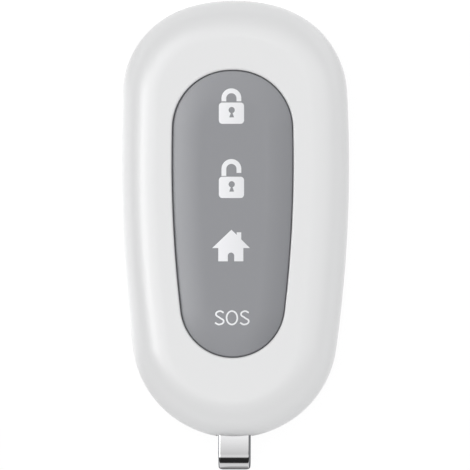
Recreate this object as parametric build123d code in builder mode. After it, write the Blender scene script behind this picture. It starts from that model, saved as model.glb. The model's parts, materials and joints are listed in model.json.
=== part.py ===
import os
from math import atan2, cos, degrees, radians, sqrt, tan

from build123d import *

# Alarm key fob, lying on its back. X runs across it, +Y towards its head, +Z out of
# the key face. The origin is the middle of the flat back. Every length is in mm.

# Case, two moulded shells
case_width = 32.0
case_length = 61.3
wall = 1.5
front_roll = 5.4
back_roll = 3.0
parting_share = 0.46
# The outlines are tangent arcs: head, shoulders, flanks and tail. The widest place and
# the flank radius are shares of the length, the head and shoulder radii of the width.
case_shares = {"widest_share": 0.376, "flank_ratio": 3.02, "head_share": 0.701, "shoulder_share": 0.413}

# Keypad window and mat
side_border = 7.56
head_border = 9.93
tail_border = 11.33
window_shares = {"widest_share": 0.313, "flank_ratio": 4.51, "head_share": 0.601, "shoulder_share": 0.481}
keypad_gap = 0.1
keypad_recess = 0.2
window_edge = 0.3
mat_thickness = 1.5
mat_edge = 0.3
crown_drop = 0.35
crown_width = 4.0
flange_width = 1.2
flange_thickness = 1.0
skirt_thickness = 0.9

# Keys, moulded in the mat as zones that flex free of it
head_margin = 1.3
tail_margin = 1.8
key_web = 2.5
key_side_margin = 3.3
key_corner_share = 0.42
key_clearance = 0.12
post_length = 2.0
post_diameter = 3.0
key_travel = 0.35

# Tact switches
switch_size = 4.5
switch_floor = 0.2
cavity_diameter = 3.5
cover_thickness = 0.15
stem_diameter = 1.9
stem_clearance = 0.08
stem_spare = 0.2
plunger_flange = 0.2
plunger_flange_diameter = 3.0
plunger_play = 0.1
dome_thickness = 0.08
pressed_dome_height = 0.25
lead_length = 0.7
lead_width = 0.6
lead_thickness = 0.2
lead_spread = 3.0
switch_corner = 0.4

# Circuit board
board_thickness = 1.0
board_clearance = 0.6
peg_diameter = 2.0
peg_setback = 8.2
peg_spread = 9.0
hole_clearance = 0.1

# Coin cell and its holder
cell_diameter = 20.0
cell_height = 3.2
cell_y = 5.0
cell_floor_gap = 0.2
contact_gap = 0.6
cell_wall = 0.3
cell_crimp = 0.9
cell_gasket = 0.35
holder_play = 0.2
holder_wall = 0.9
holder_height = 2.7
cell_rest_diameter = 14.0
cell_rest_width = 0.8
cap_rise = 0.2
contact_width = 3.6
contact_thickness = 0.25
contact_play = 0.05
contact_reach = 2.4
contact_foot = 1.4
leaf_length = 9.0
leaf_foot = 1.2

# Case screws
screw_diameter = 1.7
screw_head_diameter = 3.0
screw_head_height = 1.0
screw_side_setback = 7.2
screw_end_setback = 10.05
boss_wall = 1.2
thread_engagement = 2.4
thread_end_play = 0.4
screw_sink = 0.5
recess_width = 1.6
recess_slot = 0.4
recess_depth = 0.55

# Key ring loop on its pin
loop_width = 4.4
loop_thickness = 0.7
loop_reach = 4.5
loop_edge = 0.15
loop_corner = 0.8
pin_diameter = 2.5
pin_clearance = 0.05
seat_clearance = 0.02
pin_length = 8.8
pin_setback = 2.9
swing_up = 6.0
swing_down = 22.0
slot_clearance = 0.25
chamber_wall = 0.8

# Tongue and groove along the seam
tongue_height = 0.8
tongue_thickness = 0.65
tongue_clearance = 0.05
thread_clearance = 0.02
catch_length = 5.0
catch_reach = 0.22
catch_height = 0.35

# Small parts on the board
radio_size = 4.0
radio_height = 0.85
crystal_length = 2.5
crystal_width = 2.0
crystal_height = 0.6
chip_part_length = 1.0
chip_part_width = 0.5
chip_part_height = 0.45
led_length = 1.6
led_width = 0.8
led_height = 0.6
led_setback = 6.6
led_pocket_diameter = 3.6
led_window = 0.6
trace_width = 0.6
trace_thickness = 0.1
trace_rise = 1.8
trace_pitch = 1.5
trace_bars = 5
pad_diameter = 1.2
pad_pitch = 2.0
pad_thickness = 0.1
pad_count = 4
part_pitch = 1.6
row_gap = 1.2
row_count = 6
chip_x = 3.2

overrun = 1.0

# Heights, stacked from the back
floor_z = wall
cell_bottom_z = floor_z + cell_floor_gap
cell_top_z = cell_bottom_z + cell_height
board_bottom_z = cell_top_z + contact_gap
board_top_z = board_bottom_z + board_thickness
dome_floor_z = board_top_z + switch_floor
dome_height = key_travel + pressed_dome_height
flange_top_z = dome_floor_z + dome_height + plunger_flange
cover_bottom_z = flange_top_z + plunger_play
cover_top_z = cover_bottom_z + cover_thickness
stem_top_z = cover_top_z + key_travel + stem_spare
mat_bottom_z = stem_top_z + post_length
mat_top_z = mat_bottom_z + mat_thickness
case_height = mat_top_z + keypad_recess
ceiling_z = case_height - wall
flange_bottom_z = ceiling_z - flange_thickness
parting_z = case_height * parting_share

# Places along and across the case
head_y = case_length / 2
tail_y = -head_y
window_width = case_width - 2 * side_border
window_head_y = head_y - head_border
window_tail_y = tail_y + tail_border
window_length = window_head_y - window_tail_y
key_names = ("arm", "disarm", "home", "sos")
key_count = len(key_names)
key_length = (window_length - head_margin - tail_margin + key_web) / key_count - key_web
key_pitch = key_length + key_web
key_ys = [window_head_y - head_margin - key_length / 2 - n * key_pitch for n in range(key_count)]
key_width = window_width - 2 * key_side_margin
key_corner = min(key_length, key_width) * key_corner_share
pin_y = tail_y + pin_setback
loop_inner = pin_diameter / 2 + pin_clearance
loop_outer = loop_inner + loop_thickness
chamber_end_y = pin_y + loop_outer + slot_clearance
block_end_y = chamber_end_y + chamber_wall
block_width = pin_length + 2 * chamber_wall
board_tail_y = block_end_y + board_clearance
thread_end_z = board_top_z + thread_engagement + thread_end_play
boss_diameter = screw_diameter + 2 * boss_wall
screw_x = case_width / 2 - screw_side_setback
screw_places = [(side * screw_x, tail_y + screw_end_setback) for side in (-1, 1)]
peg_places = [(side * peg_spread, head_y - peg_setback) for side in (-1, 1)]
led_y = head_y - led_setback
holder_inner = cell_diameter / 2 + holder_play
holder_outer = holder_inner + holder_wall
parts_y = (cell_y - holder_outer + board_tail_y) / 2
row_shift = radio_size / 2 + row_gap
trace_y = (board_tail_y + window_tail_y - flange_width) / 2
groove_inset = wall - tongue_thickness - tongue_clearance
screw_seat_z = screw_sink + screw_head_height


def egg(width, top_y, bottom_y, shares, grow):
    """Closed outline of tangent arcs, rounder at its head, grown evenly all round."""
    length = top_y - bottom_y
    head_radius = shares["head_share"] * width
    shoulder_radius = shares["shoulder_share"] * width
    flank_radius = shares["flank_ratio"] * length
    head = Vector(0, top_y - head_radius)
    flank = Vector(width / 2 - flank_radius, top_y - shares["widest_share"] * length)

    # The tail circle touches both flanks and the lowest point
    drop = flank.Y - bottom_y
    tail_radius = (flank_radius**2 - flank.X**2 - drop**2) / (2 * (flank_radius - drop))
    tail = Vector(0, bottom_y + tail_radius)

    # The shoulder circle touches the head and flank circles from inside
    span = (flank - head).length
    reach = head_radius - shoulder_radius
    along = (reach**2 - (flank_radius - shoulder_radius) ** 2 + span**2) / (2 * span)
    to_flank = (flank - head) / span
    across = sqrt(reach**2 - along**2)
    shoulder = head + to_flank * along + Vector(-to_flank.Y, to_flank.X) * -across

    def heading(start, end):
        return degrees(atan2(end.Y - start.Y, end.X - start.X))

    head_turn = heading(head, shoulder)
    flank_turn = heading(flank, shoulder)
    tail_turn = heading(flank, tail)
    with BuildSketch() as outline:
        with BuildLine():
            CenterArc(shoulder, shoulder_radius + grow, flank_turn, head_turn - flank_turn)
            CenterArc(flank, flank_radius + grow, tail_turn, flank_turn - tail_turn)
            mirror(about=Plane.YZ)
            CenterArc(head, head_radius + grow, head_turn, 180 - 2 * head_turn)
            CenterArc(tail, tail_radius + grow, 180 - tail_turn, 180 + 2 * tail_turn)
        make_face()
    return outline.sketch


def case_outline(inset=0):
    return egg(case_width, head_y, tail_y, case_shares, -inset)


def window_outline(grow=0):
    return egg(window_width, window_head_y, window_tail_y, window_shares, grow)


def front_form(inset, low_z, high_z, roll):
    """Block of the case's outline with its upper edge rolled over."""
    with BuildPart() as form:
        with BuildSketch(Plane.XY.offset(low_z)):
            add(case_outline(inset))
        extrude(amount=high_z - low_z)
        fillet(form.faces().sort_by(Axis.Z)[-1].edges(), radius=roll)
    return form.part


def back_form(inset, low_z, high_z, roll):
    """Block of the case's outline with its lower edge rolled under."""
    with BuildPart() as form:
        with BuildSketch(Plane.XY.offset(low_z)):
            add(case_outline(inset))
        extrude(amount=high_z - low_z)
        fillet(form.faces().sort_by(Axis.Z)[0].edges(), radius=roll)
    return form.part


# A roll keeps a little of the straight wall beside the seam
roll_limit_share = 0.88
outer_front_roll = min(front_roll, (case_height - parting_z) * roll_limit_share)
outer_back_roll = min(back_roll, parting_z * roll_limit_share)
front_solid = front_form(0, parting_z, case_height, outer_front_roll)
back_solid = back_form(0, 0, parting_z, outer_back_roll)
front_cavity = front_form(wall, parting_z, ceiling_z, outer_front_roll - wall)
back_cavity = back_form(wall, floor_z, parting_z, outer_back_roll - wall)


def tail_block(low_z, high_z):
    """Solid end of a shell that carries the pin."""
    with BuildPart() as block:
        with BuildSketch(Plane.XY.offset(low_z)):
            with Locations((0, (tail_y + block_end_y) / 2)):
                Rectangle(block_width, block_end_y - tail_y)
        extrude(amount=high_z - low_z)
    return block.part


def loop_slot():
    """Room for the loop over its whole swing, open at the tail of the case."""
    mouth = pin_setback + overrun
    room = loop_outer + slot_clearance
    up = mouth * tan(radians(swing_up)) + room / cos(radians(swing_up))
    down = mouth * tan(radians(swing_down)) + room / cos(radians(swing_down))
    back_y = chamber_end_y
    with BuildPart() as slot:
        with BuildSketch(Plane.YZ):
            with BuildLine():
                Polyline(
                    (pin_y - mouth, parting_z + up),
                    (pin_y, parting_z + room),
                    (back_y, parting_z + room),
                    (back_y, parting_z - room),
                    (pin_y, parting_z - room),
                    (pin_y - mouth, parting_z - down),
                    close=True,
                )
            make_face()
        extrude(amount=loop_width / 2 + slot_clearance, both=True)
    return slot.part


def pin_seat():
    """Round seat for the pin, half in each shell."""
    with BuildPart() as seat:
        with BuildSketch(Plane.YZ):
            with Locations((pin_y, parting_z)):
                Circle(pin_diameter / 2 + seat_clearance)
        extrude(amount=pin_length / 2 + seat_clearance, both=True)
    return seat.part


def seam_ring(outer_inset, inner_inset, height):
    """Low ring above the seam, broken at the tail where the pin block stands."""
    with BuildPart() as ring:
        with BuildSketch(Plane.XY.offset(parting_z)):
            add(case_outline(outer_inset))
            add(case_outline(inner_inset), mode=Mode.SUBTRACT)
        extrude(amount=height)
        with BuildSketch(Plane.XY.offset(parting_z)):
            with Locations((0, (tail_y + block_end_y) / 2)):
                Rectangle(block_width + 2 * chamber_wall, block_end_y - tail_y + chamber_wall)
        extrude(amount=height, mode=Mode.SUBTRACT)
    return ring.part


def catches(reach, grow=0):
    """Two ridges on the seam tongue's outer face, where the flanks run straight."""
    catch_y = head_y - case_shares["widest_share"] * case_length
    face_x = case_width / 2 - wall + tongue_thickness
    low_z = parting_z + (tongue_height - catch_height) / 2 - grow
    with BuildPart() as ridges:
        with BuildSketch(Plane.XY.offset(low_z)):
            with Locations((face_x, catch_y), (-face_x, catch_y)):
                Rectangle(2 * (reach + grow), catch_length + 2 * grow)
        extrude(amount=catch_height + 2 * grow)
    return ridges.part


def upright(low_z, high_z, places, diameter):
    """Round posts between two heights."""
    with BuildPart() as posts:
        with BuildSketch(Plane.XY.offset(low_z)):
            with Locations(*places):
                Circle(diameter / 2)
        extrude(amount=high_z - low_z)
    return posts.part


# Front shell: rolled white moulding with the keypad window, screw bosses, locating
# pegs and the upper half of the pin block
with BuildPart() as front_room:
    add(front_cavity)
    add(upright(board_top_z, ceiling_z, peg_places, peg_diameter + boss_wall), mode=Mode.SUBTRACT)
    add(upright(board_top_z, ceiling_z, screw_places, boss_diameter), mode=Mode.SUBTRACT)
    add(tail_block(parting_z, ceiling_z), mode=Mode.SUBTRACT)
    add(upright(board_top_z, thread_end_z, screw_places, screw_diameter + thread_clearance))
    add(upright(ceiling_z, case_height - led_window, [(0, led_y)], led_pocket_diameter))
    with BuildSketch(Plane.XY.offset(ceiling_z)):
        add(window_outline(keypad_gap))
    extrude(amount=wall)
    add(seam_ring(groove_inset, wall, tongue_height + tongue_clearance))
    add(catches(catch_reach, tongue_clearance))
with BuildPart() as front_shell:
    add(front_solid)
    add(front_room.part, mode=Mode.SUBTRACT)
    rim = front_shell.faces().filter_by(Plane.XY).sort_by(Axis.Z)[-1]
    fillet(rim.inner_wires().edges(), radius=window_edge)
    add(upright(board_bottom_z, board_top_z, peg_places, peg_diameter))
    add(loop_slot(), mode=Mode.SUBTRACT)
    add(pin_seat(), mode=Mode.SUBTRACT)
front_shell.part.label = "front_shell"

# Rear shell: flat back with two sunk screws, posts under the board, a rest for the cell,
# the seam tongue and the lower half of the pin block
with BuildPart() as back_room:
    add(back_cavity)
    add(upright(floor_z, board_bottom_z, peg_places, peg_diameter + boss_wall), mode=Mode.SUBTRACT)
    add(upright(floor_z, board_bottom_z, screw_places, boss_diameter), mode=Mode.SUBTRACT)
    add(tail_block(floor_z, parting_z), mode=Mode.SUBTRACT)
    add(upright(0, screw_seat_z, screw_places, screw_head_diameter + 2 * hole_clearance))
    add(upright(0, board_bottom_z, screw_places, screw_diameter + 2 * hole_clearance))
with BuildPart() as rear_shell:
    add(back_solid)
    add(back_room.part, mode=Mode.SUBTRACT)
    with BuildSketch(Plane.XY.offset(floor_z)):
        with Locations((0, cell_y)):
            Circle(cell_rest_diameter / 2)
            Circle(cell_rest_diameter / 2 - cell_rest_width, mode=Mode.SUBTRACT)
    extrude(amount=cell_floor_gap)
    add(seam_ring(wall - tongue_thickness, wall, tongue_height))
    add(catches(catch_reach))
    add(loop_slot(), mode=Mode.SUBTRACT)
    add(pin_seat(), mode=Mode.SUBTRACT)
rear_shell.part.label = "rear_shell"


def key_zone(place_y, grow=0):
    """Outline of one key in the keypad."""
    with BuildSketch() as zone:
        with Locations((0, place_y)):
            RectangleRounded(key_width + 2 * grow, key_length + 2 * grow, key_corner + grow)
    return zone.sketch


# Keypad: a soft slab that falls away a little all round its border
with BuildPart() as keypad_slab:
    with BuildSketch(Plane.XY.offset(mat_bottom_z)):
        add(window_outline())
    extrude(amount=mat_thickness)
    top_face = keypad_slab.faces().sort_by(Axis.Z)[-1]
    chamfer(top_face.edges(), length=crown_width, length2=crown_drop, reference=top_face)
    border_edges = keypad_slab.edges().group_by(Axis.Z)[2]
    fillet(border_edges, radius=mat_edge)

# Keypad mat: the slab with a flange under the ceiling and a skirt that stands on the board
with BuildPart() as keypad_mat:
    add(keypad_slab.part)
    with BuildSketch(Plane.XY.offset(flange_bottom_z)):
        add(window_outline(flange_width))
        add(window_outline(flange_width - 2 * skirt_thickness), mode=Mode.SUBTRACT)
    extrude(amount=flange_thickness)
    with BuildSketch(Plane.XY.offset(board_top_z)):
        add(window_outline(flange_width))
        add(window_outline(flange_width - skirt_thickness), mode=Mode.SUBTRACT)
    extrude(amount=flange_bottom_z - board_top_z)
    with BuildSketch(Plane.XY.offset(mat_bottom_z)):
        for place_y in key_ys:
            add(key_zone(place_y, key_clearance))
    extrude(amount=mat_thickness, mode=Mode.SUBTRACT)
keypad_mat.part.label = "keypad_mat"

# Each key is a zone of the mat with a post that stands on its switch plunger
keys = []
for name, place_y in zip(key_names, key_ys):
    with BuildPart() as key:
        with BuildSketch(Plane.XY.offset(mat_bottom_z)):
            add(key_zone(place_y))
        extrude(amount=mat_thickness)
        add(keypad_slab.part, mode=Mode.INTERSECT)
        add(upright(stem_top_z, mat_bottom_z, [(0, place_y)], post_diameter))
    key.part.label = f"{name}_key"
    keys.append(key)

# Switch plungers: a stem through the cover over a flange that rests on the snap dome
plungers = []
for name, place_y in zip(key_names, key_ys):
    with BuildPart() as plunger:
        add(upright(flange_top_z - plunger_flange, flange_top_z, [(0, place_y)], plunger_flange_diameter))
        add(upright(flange_top_z, stem_top_z, [(0, place_y)], stem_diameter))
    plunger.part.label = f"{name}_plunger"
    plungers.append(plunger)

# Snap domes: thin spherical springs on the floor of each switch
domes = []
for name, place_y in zip(key_names, key_ys):
    rim = cavity_diameter / 2 - stem_clearance
    with BuildPart() as dome:
        with BuildSketch(Plane.XZ.offset(-place_y)):
            with BuildLine():
                top = dome_floor_z + dome_height
                over = ThreePointArc((rim, dome_floor_z), (0, top), (-rim, dome_floor_z))
                inner = rim - dome_thickness
                under = ThreePointArc(
                    (inner, dome_floor_z), (0, top - dome_thickness), (-inner, dome_floor_z)
                )
                Line(over @ 0, under @ 0)
                Line(over @ 1, under @ 1)
            make_face()
            with Locations((-rim / 2, dome_floor_z + dome_height / 2)):
                Rectangle(rim, dome_height, mode=Mode.SUBTRACT)
        revolve(axis=Axis((0, place_y, 0), (0, 0, 1)))
    dome.part.label = f"{name}_dome"
    domes.append(dome)

# Switch bases: square cups on the board
switch_places = [(0, place_y) for place_y in key_ys]
with BuildPart() as switch_bases:
    with BuildSketch(Plane.XY.offset(board_top_z)):
        with Locations(*switch_places):
            RectangleRounded(switch_size, switch_size, switch_corner)
    extrude(amount=cover_bottom_z - board_top_z)
    add(upright(dome_floor_z, cover_bottom_z, switch_places, cavity_diameter), mode=Mode.SUBTRACT)
switch_bases.part.label = "switch_bases"

# Switch covers: thin plates with the plunger's hole
with BuildPart() as switch_covers:
    with BuildSketch(Plane.XY.offset(cover_bottom_z)):
        with Locations(*switch_places):
            RectangleRounded(switch_size, switch_size, switch_corner)
            Circle(stem_diameter / 2 + stem_clearance, mode=Mode.SUBTRACT)
    extrude(amount=cover_thickness)
switch_covers.part.label = "switch_covers"

# Switch leads: four flat tails beside each base
with BuildPart() as switch_leads:
    with BuildSketch(Plane.XY.offset(board_top_z)):
        with Locations(*switch_places):
            with GridLocations(switch_size + lead_length, lead_spread, 2, 2):
                Rectangle(lead_length, lead_width)
    extrude(amount=lead_thickness)
switch_leads.part.label = "switch_leads"

# Circuit board: the case's outline inside the walls, cut straight before the pin block
with BuildPart() as circuit_board:
    with BuildSketch(Plane.XY.offset(board_bottom_z)):
        add(case_outline(wall + board_clearance))
        with Locations((0, (tail_y + board_tail_y) / 2)):
            Rectangle(case_width, board_tail_y - tail_y, mode=Mode.SUBTRACT)
        with Locations(*screw_places):
            Circle(screw_diameter / 2 + hole_clearance, mode=Mode.SUBTRACT)
        with Locations(*peg_places):
            Circle(peg_diameter / 2 + hole_clearance, mode=Mode.SUBTRACT)
    extrude(amount=board_thickness)
circuit_board.part.label = "circuit_board"


def on_underside(places, length, width, height):
    """Blocks that hang from the board's underside."""
    with BuildPart() as blocks:
        with BuildSketch(Plane.XY.offset(board_bottom_z - height)):
            with Locations(*places):
                Rectangle(length, width)
        extrude(amount=height)
    return blocks


row_xs = [(n - (row_count - 1) / 2) * part_pitch for n in range(row_count)]
radio_chip = on_underside([(-chip_x, parts_y)], radio_size, radio_size, radio_height)
radio_chip.part.label = "radio_chip"
crystal = on_underside([(chip_x, parts_y)], crystal_length, crystal_width, crystal_height)
crystal.part.label = "crystal"
chip_capacitors = on_underside(
    [(x, parts_y + row_shift) for x in row_xs], chip_part_width, chip_part_length, chip_part_height
)
chip_capacitors.part.label = "chip_capacitors"
chip_resistors = on_underside(
    [(x, parts_y - row_shift) for x in row_xs], chip_part_width, chip_part_length, chip_part_height
)
chip_resistors.part.label = "chip_resistors"

# Test pads in a row behind the resistors
with BuildPart() as test_pads:
    with BuildSketch(Plane.XY.offset(board_bottom_z - pad_thickness)):
        with Locations((0, parts_y - row_shift - pad_pitch)):
            with GridLocations(pad_pitch, 0, pad_count, 1):
                Circle(pad_diameter / 2)
    extrude(amount=pad_thickness)
test_pads.part.label = "test_pads"

# Antenna: a printed meander between the skirt and the tail of the board
with BuildPart() as antenna_trace:
    with BuildSketch(Plane.XY.offset(board_top_z)):
        for n in range(trace_bars):
            bar_x = (n - (trace_bars - 1) / 2) * trace_pitch
            with Locations((bar_x, trace_y)):
                Rectangle(trace_width, trace_rise + trace_width)
            if n + 1 < trace_bars:
                link_y = trace_y + (trace_rise / 2 if n % 2 else -trace_rise / 2)
                with Locations((bar_x + trace_pitch / 2, link_y)):
                    Rectangle(trace_pitch, trace_width)
    extrude(amount=trace_thickness)
antenna_trace.part.label = "antenna_trace"

# Status light under the thinned spot of the front shell
with BuildPart() as status_led:
    with BuildSketch(Plane.XY.offset(board_top_z)):
        with Locations((0, led_y)):
            Rectangle(led_length, led_width)
    extrude(amount=led_height)
status_led.part.label = "status_led"


def turned(profile):
    """Ring or disc about the cell's axis, from points given as radius and height."""
    with BuildPart() as body:
        with BuildSketch(Plane.XZ.offset(-cell_y)):
            with BuildLine():
                Polyline(*profile, close=True)
            make_face()
        revolve(axis=Axis((0, cell_y, 0), (0, 0, 1)))
    return body


# Coin cell: steel can crimped over a gasket and the negative cap
cell_radius = cell_diameter / 2
can_bore = cell_radius - cell_wall
can_lip = cell_radius - cell_crimp
can_floor_z = cell_bottom_z + cell_wall
lip_top_z = cell_top_z - cap_rise
lip_z = lip_top_z - cell_wall
seal_z = lip_z - cell_gasket
battery_can = turned([
    (0, cell_bottom_z), (cell_radius, cell_bottom_z), (cell_radius, lip_top_z), (can_lip, lip_top_z),
    (can_lip, lip_z), (can_bore, lip_z), (can_bore, can_floor_z), (0, can_floor_z),
])
battery_can.part.label = "battery_can"
battery_gasket = turned([
    (can_bore, can_floor_z), (can_bore, lip_z), (can_lip, lip_z), (can_lip, lip_top_z),
    (can_lip - cell_gasket, lip_top_z), (can_lip - cell_gasket, seal_z),
    (can_bore - cell_gasket, seal_z), (can_bore - cell_gasket, can_floor_z),
])
battery_gasket.part.label = "battery_gasket"
battery_cap = turned([
    (0, can_floor_z), (can_bore - cell_gasket, can_floor_z), (can_bore - cell_gasket, seal_z),
    (can_lip - cell_gasket, seal_z), (can_lip - cell_gasket, cell_top_z), (0, cell_top_z),
])
battery_cap.part.label = "battery_cap"

# Cell holder: a ring under the board, open where the side contact stands
with BuildPart() as battery_holder:
    with BuildSketch(Plane.XY.offset(board_bottom_z - holder_height)):
        with Locations((0, cell_y)):
            Circle(holder_outer)
            Circle(holder_inner, mode=Mode.SUBTRACT)
        with Locations((0, cell_y - holder_outer)):
            Rectangle(contact_width + 2 * holder_play, 2 * holder_outer, mode=Mode.SUBTRACT)
    extrude(amount=holder_height)
battery_holder.part.label = "battery_holder"

# Side contact: a bent strip beside the can
with BuildPart() as battery_contact_positive:
    with BuildSketch(Plane.YZ):
        with BuildLine():
            near_y = cell_y - cell_radius - contact_play
            far_y = near_y - contact_thickness
            Polyline(
                (near_y, board_bottom_z),
                (near_y, board_bottom_z - contact_reach),
                (far_y, board_bottom_z - contact_reach),
                (far_y, board_bottom_z - contact_thickness),
                (far_y - contact_foot, board_bottom_z - contact_thickness),
                (far_y - contact_foot, board_bottom_z),
                close=True,
            )
        make_face()
    extrude(amount=contact_width / 2, both=True)
battery_contact_positive.part.label = "battery_contact_positive"

# Middle contact: a bowed leaf between the board and the cap
with BuildPart() as battery_contact_negative:
    with BuildSketch(Plane.YZ):
        with BuildLine():
            reach = leaf_length / 2
            crest = ThreePointArc(
                (cell_y - reach, board_bottom_z), (cell_y, cell_top_z), (cell_y + reach, board_bottom_z)
            )
            reach -= leaf_foot
            hollow = ThreePointArc(
                (cell_y - reach, board_bottom_z),
                (cell_y, cell_top_z + contact_thickness),
                (cell_y + reach, board_bottom_z),
            )
            Line(crest @ 0, hollow @ 0)
            Line(crest @ 1, hollow @ 1)
        make_face()
    extrude(amount=contact_width / 2, both=True)
battery_contact_negative.part.label = "battery_contact_negative"

# Case screws, driven from the back
with BuildPart() as case_screws:
    add(upright(screw_sink, screw_seat_z, screw_places, screw_head_diameter))
    add(upright(screw_seat_z, board_top_z + thread_engagement, screw_places, screw_diameter))
    with BuildSketch(Plane.XY.offset(screw_sink)):
        with Locations(*screw_places):
            Rectangle(recess_width, recess_slot)
            Rectangle(recess_slot, recess_width)
    extrude(amount=recess_depth, mode=Mode.SUBTRACT)
case_screws.part.label = "case_screws"

# Pin, trapped between the shells, with the loop round it
with BuildPart() as loop_pin:
    with BuildSketch(Plane.YZ):
        with Locations((pin_y, parting_z)):
            Circle(pin_diameter / 2)
    extrude(amount=pin_length / 2, both=True)
loop_pin.part.label = "loop_pin"

# Key ring loop: a closed band with room for a ring beyond the tail
loop_span = pin_setback + loop_reach - loop_outer
with BuildPart() as key_loop:
    with BuildSketch(Plane.YZ):
        with Locations((pin_y - loop_span / 2, parting_z)):
            SlotCenterToCenter(loop_span, 2 * loop_outer)
            SlotCenterToCenter(loop_span, 2 * loop_inner, mode=Mode.SUBTRACT)
    extrude(amount=loop_width / 2, both=True)
    fillet(key_loop.faces().filter_by(Axis.X).edges(), radius=loop_edge)
    with BuildSketch(Plane.XY.offset(parting_z - loop_outer)):
        with Locations((0, pin_y - loop_span / 2 + loop_corner)):
            RectangleRounded(loop_width, loop_span + 2 * (loop_outer + loop_corner), loop_corner)
    extrude(amount=2 * loop_outer, mode=Mode.INTERSECT)
key_loop.part.label = "key_loop"

pieces = [
    front_shell, rear_shell, keypad_mat, *keys, *plungers, *domes, switch_bases, switch_covers,
    switch_leads, circuit_board, radio_chip, crystal, chip_capacitors, chip_resistors, test_pads,
    antenna_trace, status_led, battery_can, battery_gasket, battery_cap, battery_holder,
    battery_contact_positive, battery_contact_negative, case_screws, loop_pin, key_loop,
]
os.makedirs("parts", exist_ok=True)
for piece in pieces:
    export_step(piece.part, f"parts/{piece.part.label}.step")
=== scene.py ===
import json
from math import atan2, ceil, cos, degrees, pi, radians, sin, sqrt

import bmesh
import bpy
import numpy as np
from mathutils import Matrix, Vector
from mathutils.geometry import delaunay_2d_cdt

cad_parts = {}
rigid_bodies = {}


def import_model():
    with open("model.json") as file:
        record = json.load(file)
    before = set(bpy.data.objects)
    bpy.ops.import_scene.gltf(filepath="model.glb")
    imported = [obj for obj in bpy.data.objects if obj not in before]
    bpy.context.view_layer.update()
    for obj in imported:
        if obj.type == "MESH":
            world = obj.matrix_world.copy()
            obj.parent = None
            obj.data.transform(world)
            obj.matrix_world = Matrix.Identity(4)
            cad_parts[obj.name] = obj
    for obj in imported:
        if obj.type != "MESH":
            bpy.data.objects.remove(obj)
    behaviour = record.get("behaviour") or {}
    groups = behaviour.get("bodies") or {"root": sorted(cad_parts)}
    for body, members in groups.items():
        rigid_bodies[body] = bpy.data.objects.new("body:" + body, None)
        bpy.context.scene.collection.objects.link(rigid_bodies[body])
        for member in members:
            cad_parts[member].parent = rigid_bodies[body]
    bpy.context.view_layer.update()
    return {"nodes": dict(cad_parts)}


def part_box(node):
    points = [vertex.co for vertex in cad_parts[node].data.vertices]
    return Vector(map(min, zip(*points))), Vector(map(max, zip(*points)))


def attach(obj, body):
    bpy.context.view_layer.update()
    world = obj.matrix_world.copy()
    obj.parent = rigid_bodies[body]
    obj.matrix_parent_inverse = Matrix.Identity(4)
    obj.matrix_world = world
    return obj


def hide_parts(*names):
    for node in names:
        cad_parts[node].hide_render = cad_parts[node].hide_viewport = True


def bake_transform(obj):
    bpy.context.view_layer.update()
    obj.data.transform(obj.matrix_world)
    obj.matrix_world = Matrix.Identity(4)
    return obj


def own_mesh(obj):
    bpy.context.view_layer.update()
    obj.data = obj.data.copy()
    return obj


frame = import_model()
mm = 0.001
print("frame loaded:", len(frame["nodes"]), "nodes")


def addObject(name, data):
    made = bpy.data.objects.new(name, data)
    bpy.context.scene.collection.objects.link(made)
    return made


camera = {
    "width": 65.80,  # mm of the object across the picture
    "middle": (0.20, -2.26, 8.5),  # mm, the point in the middle of the picture
    "lean": 2.6,  # degrees towards +X
    "distance": 1500.0,  # mm
    "sensor": 36.0,
}


def makeCamera():
    lean = radians(camera["lean"])
    back = Vector((sin(lean), 0, cos(lean)))
    across = Vector((cos(lean), 0, -sin(lean)))
    data = bpy.data.cameras.new("camera")
    data.sensor_width = camera["sensor"]
    data.lens = camera["sensor"] * camera["distance"] / camera["width"]
    data.clip_start, data.clip_end = 0.1, 20
    seen = addObject("camera", data)
    seen.rotation_mode = "QUATERNION"
    seen.rotation_quaternion = Matrix((across, Vector((0, 1, 0)), back)).transposed().to_quaternion()
    seen.location = (Vector(camera["middle"]) + back * camera["distance"]) * mm
    bpy.context.scene.camera = seen


def join(tree, value, socket):
    # Links a socket to another, or gives it a plain value
    if isinstance(value, bpy.types.NodeSocket):
        tree.links.new(value, socket)
    else:
        socket.default_value = value


def addNode(tree, kind, settings=None, **inputs):
    # A node with its settings; inputs are values, or sockets to link from
    node = tree.nodes.new(kind)
    for key, value in (settings or {}).items():
        setattr(node, key, value)
    for key, value in inputs.items():
        numbered = key.startswith("in") and key[2:].isdigit()
        join(tree, value, node.inputs[int(key[2:]) if numbered else key.replace("_", " ")])
    return node


def mathNode(tree, operation, *values):
    node = tree.nodes.new("ShaderNodeMath")
    node.operation = operation
    for socket, value in zip(node.inputs, values):
        join(tree, value, socket)
    return node.outputs[0]


def times(tree, first, second):
    return mathNode(tree, "MULTIPLY", first, second)


def feed(tree, target, **sources):
    # Links sockets to a node's inputs by their names
    for key, source in sources.items():
        tree.links.new(source, target.inputs[key.replace("_", " ")])


def objectPlace(tree):
    return addNode(tree, "ShaderNodeTexCoord").outputs["Object"]


def axes(tree, vector):
    return addNode(tree, "ShaderNodeSeparateXYZ", Vector=vector).outputs


def mixColours(tree, share, first, second):
    return addNode(tree, "ShaderNodeMix", {"data_type": "RGBA"}, in0=share, in6=first, in7=second).outputs[2]


def softStep(tree, value, outside, inside, unit=1.0):
    # 0 past one limit, 1 past the other, smooth between
    return addNode(
        tree, "ShaderNodeMapRange", {"interpolation_type": "SMOOTHSTEP"},
        Value=value, From_Min=outside * unit, From_Max=inside * unit,
    ).outputs[0]


def linear(*picture):
    # Linear colour from the 0 to 255 values of a picture
    shares = [value / 255 for value in picture]
    return tuple(s / 12.92 if s <= 0.04045 else ((s + 0.055) / 1.055) ** 2.4 for s in shares) + (1.0,)


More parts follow.
